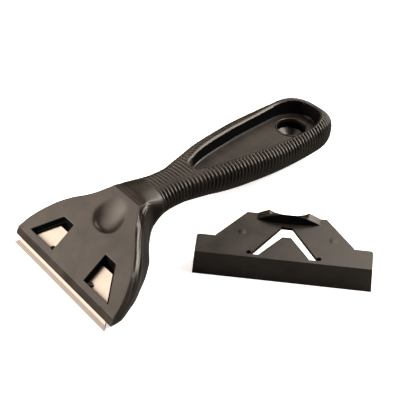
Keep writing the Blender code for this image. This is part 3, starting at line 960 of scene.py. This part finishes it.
    def moulding(self) -> Object:
        """The one-piece body with its blade slot, windows and hanging hole.

        Returns:
            The object in the scraper's frame.
        """
        body = skin("scraper_moulding", self.rings())
        wide = SLOT_HALF / 2 / math.cos(math.atan(BLADE_SLANT))
        fore = BLADE_EXPOSED / 2
        front, rear = [BLADE_HALF - back * BLADE_SLANT + wide for back in (fore, SLOT_REAR)]
        corners = ((front, fore), (rear, SLOT_REAR), (-rear, SLOT_REAR), (-front, fore))
        slot = np.array([[blade_point(u, back, above) for u, back in corners]
                         for above in (-SLOT_HALF, SLOT_HALF)])
        bore = turned("hole", ROUND_STEPS, 0.0, HOLE_V, (HOLE_R, HOLE_R),
                      (self.pocket_floor(HOLE_V) - HOLE_STEP, TOOL_TOP))
        combine(body, [(skin("slot", slot), Use.CUT), (bore, Use.CUT), (self.hole_foot(), Use.CUT),
                       *self.window_tools()])
        shade(body, 28, False)
        return body

    def hole_foot(self) -> Object:
        """Cutter for the hanging hole's foot: a shallow funnel that ends in a small bore."""
        mouth = self.pocket_floor(HOLE_V) - HOLE_STEP
        return turned("hole_foot", ROUND_STEPS, 0.0, HOLE_V, (HOLE_FOOT_R, HOLE_FOOT_R, HOLE_R - 0.01),
                      (-5.0, mouth - HOLE_TAPER, mouth + 0.01))

    def paint_recess_shade(self, body: Object) -> None:
        """Give the windows, the blade's slot, the pocket's wall and the hole the second, darker material,
        which paints the shade that falls in them.

        A face counts as recessed when its middle lies inside a window's mouth and below the
        plate, inside the blade's slot, on the pocket's steep wall, or on the hanging hole's wall
        or its small bore. The funnel between those two catches the light and is left out.

        Args:
            body: the moulding, still in the scraper's frame.
        """
        (u, v, w), (_, _, up) = face_values(body)
        aside, along = np.abs(u), (v - FRONT_V) / PLATE_COS
        plate, floor = plate_w(v), self.pocket_floor(v)
        width = BLADE_HALF - v / PLATE_COS * BLADE_SLANT
        window = ((aside > 10.0) & (aside < width + 0.6) & (along > 2.3) & (along < 16.0)
                  & (w < plate - 0.15) & (w > plate - 8.1))
        slot = ((np.abs(w * PLATE_COS - v * PLATE_SIN) < SLOT_HALF + 0.02) & (aside < width + 0.3)
                & (v > FRONT_V + 0.05) & (v < (SLOT_REAR + 0.1) * PLATE_COS))
        reach = self.pocket_distance(u, v)
        pocket = ((v > POCKET_V) & (reach > 0.02) & (reach < 3.0) & (up > 0.02) & (up < 0.72)
                  & (aside < 12.5) & (w > floor - 0.3))
        taper = np.abs(w - self.pocket_floor(HOLE_V) + HOLE_STEP + HOLE_TAPER / 2)
        hole = (np.hypot(u, v - HOLE_V) < HOLE_R + 0.05) & (taper > HOLE_TAPER / 2 + 0.1)
        mark_faces(body, window | slot | pocket | hole)

    def hole_lip(self) -> Object:
        """Fine raised lip round the hanging hole, turned as a ring.

        Returns:
            The object in the scraper's frame.
        """
        middle, half, rise, root = HOLE_R + 0.35, 0.36, 0.3, 1.2
        turn = np.linspace(0, 2 * math.pi, ROUND_STEPS, endpoint=False)[:, None]
        bend = np.linspace(0, math.pi, 9)
        radial = np.concatenate([[middle - half], middle - half * np.cos(bend), [middle + half]])
        floor = self.pocket_floor(HOLE_V)
        height = np.concatenate([[floor - root], floor + 0.05 + rise * np.sin(bend), [floor - root]])
        rings = np.stack([radial * np.cos(turn), HOLE_V + radial * np.sin(turn), height + 0 * turn], 2)
        rings[..., 2] += (rings[..., 1] - HOLE_V) * POCKET_RISE / POCKET_RUN
        lip = skin("hanging_hole_lip", rings, True)
        shade(lip, 60, False)
        return lip

    def pips(self) -> list[Object]:
        """Small pips that stand on the blade in the front inner corner of each window.

        Returns:
            The two objects in the scraper's frame.
        """
        v = FRONT_V + PIP_BACK * PLATE_COS
        bend = np.linspace(0, math.pi / 2, 6)
        radii = np.concatenate([[1.05], 0.75 + 0.3 * np.cos(bend), [0.02]])
        heights = plate_w(v) - 2.1 + np.concatenate([[-1.05], 0.25 * np.sin(bend) - 0.25, [0.01]])
        made = [turned(word + "_window_pip", 24, side * PIP_ASIDE, v, radii, heights)
                for side, word in ((-1, "left"), (1, "right"))]
        for pip in made:
            shade(pip, 40, False)
        return made

    def build(self) -> None:
        """Make every piece of the handle."""
        material = self.finish.build()
        body = self.moulding()
        self.paint_recess_shade(body)
        finish_piece(body, self.place, material, "scraper", ("scraper_handle",),
                     (self.shaded_recess.build(),))
        for made in (self.hole_lip(), *self.pips()):
            finish_piece(made, self.place, material, "scraper")


@dataclass
class Blade:
    """Tapered steel blade with an edge ground from both faces.

    Attributes:
        place: placing of the scraper's level frame.
        finish: the steel.
        edge: half thickness left at the ground edge, in millimetres.
        back: how far back it reaches from its edge, in millimetres.
    """

    place: Place
    finish: SteelFinish
    edge: float = 0.03
    back: float = 17.2

    def build(self) -> None:
        """Make the blade from three sections: at the edge, where the ground face ends, and at the back."""
        rows = ((0.0, self.edge), (self.finish.bevel_mm, BLADE_THICK / 2), (self.back, BLADE_THICK / 2))
        rings = np.array([[blade_point((BLADE_HALF - back * BLADE_SLANT) * x, back, half * h)
                           for x, h in ((-1, 1), (1, 1), (1, -1), (-1, -1))] for back, half in rows])
        material = self.finish.build(self.place.matrix.translation.copy())
        made = skin("scraper_blade", rings)
        finish_piece(made, self.place, material, "blade_body", ("blade",))


@dataclass
class Cover:
    """Slide-on blade cover with its springy tongue and thumb catch.

    Attributes:
        place: placing of the cover's own frame.
        finish: the moulded plastic.
        shaded_recess: a darker, duller copy of the same plastic, painted shade for faces that are hardly
            lit.
        height: its height at the top plate.
        depth: its depth from front foot to rear edge.
        wall: its wall thickness.
        half: half-width of its front wall's top.
        rear_half: half-width behind it.
        cap: depth of its box, behind which only the plate goes on.
        corner: radius of the box's rear corners.
        flares: how far its foot stands out at the front corners and behind them.
        side_half: half-width of its sides, from which the wall's thickness is taken.
        plate_half: half-width of the plate where it leaves the box.
        tail_half: half-width of the plate's rear edge.
    """

    place: Place
    finish: PlasticFinish
    shaded_recess: PlasticFinish
    height: float = 12.15
    depth: float = 24.5
    wall: float = 1.5
    half: float = 33.25
    rear_half: float = 33.65
    cap: float = 9.6
    corner: float = 1.2
    flares: tuple[float, float] = (1.1, 0.7)
    side_half: float = 33.1
    plate_half: float = 26.5
    tail_half: float = 15.625

    def shell(self) -> Object:
        """Front wall, sides, plate and foot, with the slot round the tongue.

        Returns:
            The object in the cover's frame.
        """
        top, cap, turn = self.height, self.cap, np.linspace(0, math.pi / 2, 6)
        corner = np.column_stack([self.rear_half - self.corner + self.corner * np.cos(turn),
                                  cap - self.corner + self.corner * np.sin(turn)])
        plan = np.vstack([[(-self.half, 0.0), (self.half, 0.0)], corner, (corner * (-1, 1))[::-1]])
        foot = plan + np.sign(plan) * (1, 0) * np.where(plan[:, 1:] == 0, *self.flares)
        ground = np.zeros(len(plan))
        body = skin("blade_cover_shell", np.stack([
            np.column_stack([foot, ground]), np.column_stack([plan, ground + top])]))
        side, rear = self.plate_half, self.tail_half
        inner, beyond = self.side_half - self.wall, self.depth + 2
        tail = np.array([(-side, cap - 1.5), (side, cap - 1.5), (side, cap + 0.3), (rear, self.depth),
                         (-rear, self.depth), (-side, cap + 0.3)])
        room = np.array([(-inner, 1.0), (inner, 1.0), (inner, beyond), (-inner, beyond)])
        combine(body, [(prism("tail", tail, top - self.wall, top), Use.JOIN),
                       (prism("room", room, self.wall, top - self.wall), Use.CUT),
                       (prism("slot", np.array(TONGUE_SLOT), top - 3.0, top + 1.5), Use.CUT),
                       *((turned("dot", 24, x, y, (DOT_R, DOT_R), (top - 1.2, top + 1.5)), Use.CUT)
                         for x, y in DOTS)])
        soften(body, 0.3, 30, 3)
        bend = np.linspace(0, math.pi / 2, 7)
        for x, y in BUMPS:
            radii, heights = BUMP_R * np.cos(bend) + 0.02, top - 0.14 + 0.26 * np.sin(bend)
            combine(body, [(turned("bump", 32, x, y, radii, heights), Use.JOIN)])
        shade(body, 30, True)
        return body

    def catch(self) -> Object:
        """Thumb catch: a lens-shaped front face, and behind it a saddle between two horns.

        The front edge of the top is an arch and the rear edge a saddle; gently bowed lines
        join them, and the front face leans back as it climbs.

        Returns:
            The object in the cover's frame.
        """
        half, shift, rise, front, bow = 12.4, 0.75, 3.9, 20.8, 1.1
        across = np.linspace(-1, 1, 81)[:, None]
        arch = np.clip(1 - across ** 2, 0, 1)
        front_z, rear_z = rise * arch, eased(np.abs(across), HORN_HEIGHTS)
        foot_y = front - bow * arch
        top_y, rear_y = foot_y + bow * arch, self.depth - 0.02 + 0 * arch
        face_y = foot_y + (top_y - foot_y) * np.array([0.12, 0.3, 0.5, 0.8, 1.0])
        face_z = front_z * np.array([0.06, 0.3, 0.6, 0.9, 1.0])
        bend = np.linspace(0, 1, 16)[1:]
        roof_y = top_y + (rear_y - top_y) * bend
        roof_z = front_z + (rear_z - front_z) * (bend + 0.12 * np.sin(math.pi * bend))
        y = np.concatenate([foot_y, face_y, roof_y, rear_y, foot_y], 1)
        z = np.concatenate([0 * arch, face_z, roof_z, 0 * arch - 0.7, 0 * arch - 0.7], 1)
        x = np.broadcast_to(across * half + shift, y.shape)
        ridge = skin("cover_thumb_catch", np.stack([x, y, z + self.height], 2))
        shade(ridge, 40, False)
        middle, normal = face_values(ridge)
        # Painted shade: the steep front face of the catch gets the darker plastic
        mark_faces(ridge, (normal[1] < -0.6) & (middle[2] > self.height))
        return ridge

    def tongue(self) -> Object:
        """Triangular tongue that dips toward its point, with a narrow chamfer round its top.

        Returns:
            The object in the cover's frame.
        """
        top = self.height
        low = np.array([(-9.6, 1.15, top - 1.2), (10.2, 1.15, top - 1.2),
                        (2.4, 12.65, top - 1.5), (-0.9, 12.65, top - 1.5)])
        rim = low + (0.0, 0.0, 1.08)
        high = low + [(0.55, 0.0, 1.21), (-0.55, 0.0, 1.21), (-0.25, -0.4, 1.21), (0.25, -0.4, 1.21)]
        body = skin("cover_spring_tongue", np.stack([low, rim, high]))
        shade(body, 4, False)
        _, normal = face_values(body)
        # Painted shade: the chamfer round the tongue's top gets the darker plastic, a dark outline
        mark_faces(body, (np.abs(normal[2]) < 0.985) & (normal[1] > -0.5))
        return body

    def build(self) -> None:
        """Make every piece of the cover."""
        material = self.finish.build()
        finish_piece(self.shell(), self.place, material, "cover_body", ("blade_cover",))
        finish_piece(self.catch(), self.place, material, "cover_body", (),
                     (self.shaded_recess.build(),))
        finish_piece(self.tongue(), self.place, material, "tongue_body",
                     ("cover_tongue",), (self.shaded_recess.build(),))


@dataclass(frozen=True)
class Softbox:
    """Soft rectangular light.

    Attributes:
        name: its name.
        spot: its middle, in metres.
        facing: the direction that it looks back along, from the scraper toward the light.
        size: its width and height, in metres.
        power: its strength in watts.
        colour: its colour, as sRGB hex.
    """

    name: str
    spot: Point
    facing: Point
    size: tuple[float, float]
    power: float
    colour: str

    def build(self) -> None:
        """Add the light to the scene."""
        data = bpy.data.lights.new(self.name, "AREA")
        data.shape, data.energy = "RECTANGLE", self.power
        data.size, data.size_y = self.size
        data.color = linear(self.colour)[:3]
        stand(data, Vector(self.spot), Vector(self.facing).normalized())


WARM, NEUTRAL = "ffecda", "fff3e6"
LIGHTS = (
    Softbox("front_softbox", (-0.655, -0.675, 0.756), (-0.65, 0.0, 0.75), (1.25, 0.8), 10.3, WARM),
    Softbox("rear_softbox", (-0.655, 1.02, 0.756), (-0.65, 0.0, 0.75), (0.6, 0.8), 1.8, WARM),
    Softbox("overhead_softbox", (-0.2, 0.6, 0.77), (-0.2, 0.6, 0.77), (0.5, 0.4), 2.6, NEUTRAL),
    Softbox("side_softbox", (0.5, 0.5, 0.68), (0.5, 0.5, 0.68), (0.45, 0.35), 9.5, NEUTRAL),
    Softbox("back_softbox", (0.22, 0.68, 0.7), (0.22, 0.68, 0.7), (0.5, 0.4), 6.0, NEUTRAL),
    Softbox("low_front_card", (-0.5, -0.8, 0.21), (-0.5, -0.8, 0.2), (1.0, 0.38), 13.0, WARM),
    Softbox("low_rear_card", (-0.1, 0.9, 0.4), (-0.1, 0.9, 0.4), (0.5, 0.3), 3.0, NEUTRAL))


def stand(data: Camera | Light, spot: Vector, back: Vector) -> Object:
    """Add a camera or light to the scene.

    Args:
        data: its data.
        spot: where it stands, in metres.
        back: the direction that it looks back along, of length one.

    Returns:
        The new object.
    """
    made = bpy.data.objects.new(data.name, data)
    bpy.context.scene.collection.objects.link(made)
    made.location = spot
    made.rotation_mode = "QUATERNION"
    made.rotation_quaternion = (-back).to_track_quat("-Z", "Y")
    return made


@dataclass
class Studio:
    """Camera, floor and soft lights.

    The camera was fitted to the photograph.

    Attributes:
        origin: zero of the scraper's frame on the table, in metres.
        lens: the camera's focal length for a sensor 36 mm wide, in millimetres.
        azimuth: direction in which the camera stands, in degrees.
        elevation: how far it looks down, in degrees.
        offset: its place from the origin, in metres.
        floor_half: half the side of the floor, in metres.
        mirrored: brightness of the floor in reflections, as a share of what the camera sees.
        glow: extra brightness of the floor to the camera.
        fibre_mm: size of the paper's fibres, drawn coarser than real ones so that they show.
    """

    origin: Vector
    lens: float = 78.345
    azimuth: float = 49.384
    elevation: float = 42.185
    offset: Point = (0.20601, -0.10482, 0.24702)
    floor_half: float = 3.0
    mirrored: float = 0.17
    glow: float = 0.7
    fibre_mm: float = 10 / 9

    def camera(self) -> None:
        """Place the camera."""
        data = bpy.data.cameras.new("camera")
        data.sensor_width, data.lens = 36.0, self.lens
        data.clip_start, data.clip_end = 0.01, 20.0
        azimuth, elevation = math.radians(self.azimuth), math.radians(self.elevation)
        back = Vector((math.sin(azimuth) * math.cos(elevation), -math.cos(azimuth) * math.cos(elevation),
                       math.sin(elevation)))
        bpy.context.scene.camera = stand(data, self.origin + Vector(self.offset), back)

    def floor(self) -> None:
        """White floor that shows white to the camera and stays dimmer in reflections."""
        corners = np.array([(-1.0, -1.0, 0.0), (1.0, -1.0, 0.0), (1.0, 1.0, 0.0), (-1.0, 1.0, 0.0)])
        made = make_object("floor", self.floor_half * corners, [(0, 1, 2, 3)])
        material, tree, shader = new_material("matt_white_paper")
        seen = add_node(tree, "ShaderNodeLightPath").outputs["Is Camera Ray"]
        where = add_node(tree, "ShaderNodeTexCoord").outputs["Object"]
        fibre = add_node(tree, "ShaderNodeTexNoise", {
            "Vector": where, "Scale": 1 / (self.fibre_mm * MM), "Detail": 2.0})
        tone, dim = [add_node(tree, "ShaderNodeMapRange", {
            "Value": value, "To Min": least, "To Max": most}).outputs["Result"]
            for value, least, most in ((fibre.outputs["Fac"], 0.9, 0.94), (seen, self.mirrored, 1.0))]
        mixed, glow = [add_node(tree, "ShaderNodeMath", {0: a, 1: b}, operation="MULTIPLY").outputs["Value"]
                       for a, b in ((tone, dim), (seen, self.glow))]
        fill_inputs(tree, shader, {
            "Base Color": mixed, "Roughness": 0.9, "Emission Strength": glow,
            "Emission Color": (1.0, 1.0, 1.0, 1.0)})
        made.data.materials.append(material)

    def world(self) -> None:
        """White to the camera and a dim warm grey to everything else."""
        world = bpy.data.worlds.new("room")
        bpy.context.scene.world = world
        world.use_nodes = True
        tree = world.node_tree
        seen = add_node(tree, "ShaderNodeLightPath").outputs["Is Camera Ray"]
        tone = add_node(tree, "ShaderNodeMix", {
            "Factor": seen, "A": linear("2c2a27"), "B": (1.0, 1.0, 1.0, 1.0)}, data_type="RGBA")
        fill_inputs(tree, tree.nodes["Background"], {"Color": tone.outputs["Result"]})

    def build(self) -> None:
        """Set up the whole stage."""
        self.camera()
        self.floor()
        for light in LIGHTS:
            light.build()
        self.world()
        view = bpy.context.scene.view_settings
        view.view_transform, view.look, view.exposure, view.gamma = "Standard", "None", 0.0, 1.0
        log.info("stage ready")


def main() -> None:
    """Dress the frame and set the stage."""
    scraper = scraper_place()
    Studio(scraper.matrix.translation.copy()).build()
    # A darker, duller copy of the plastic, used as painted shade in the recesses and on hardly lit faces
    shaded_recess = PlasticFinish("painted_shade_plastic", deep="050607", pale="08090a", roughness=0.7, sheen=0.04)
    Handle(scraper, PlasticFinish("satin_handle_plastic"), shaded_recess).build()
    cover = PlasticFinish("satin_cover_plastic", deep="110e0b", pale="1b1611", sheen=0.56)
    Cover(cover_place(scraper), cover, shaded_recess).build()
    Blade(scraper, SteelFinish()).build()


if __name__ == "__main__":
    main()
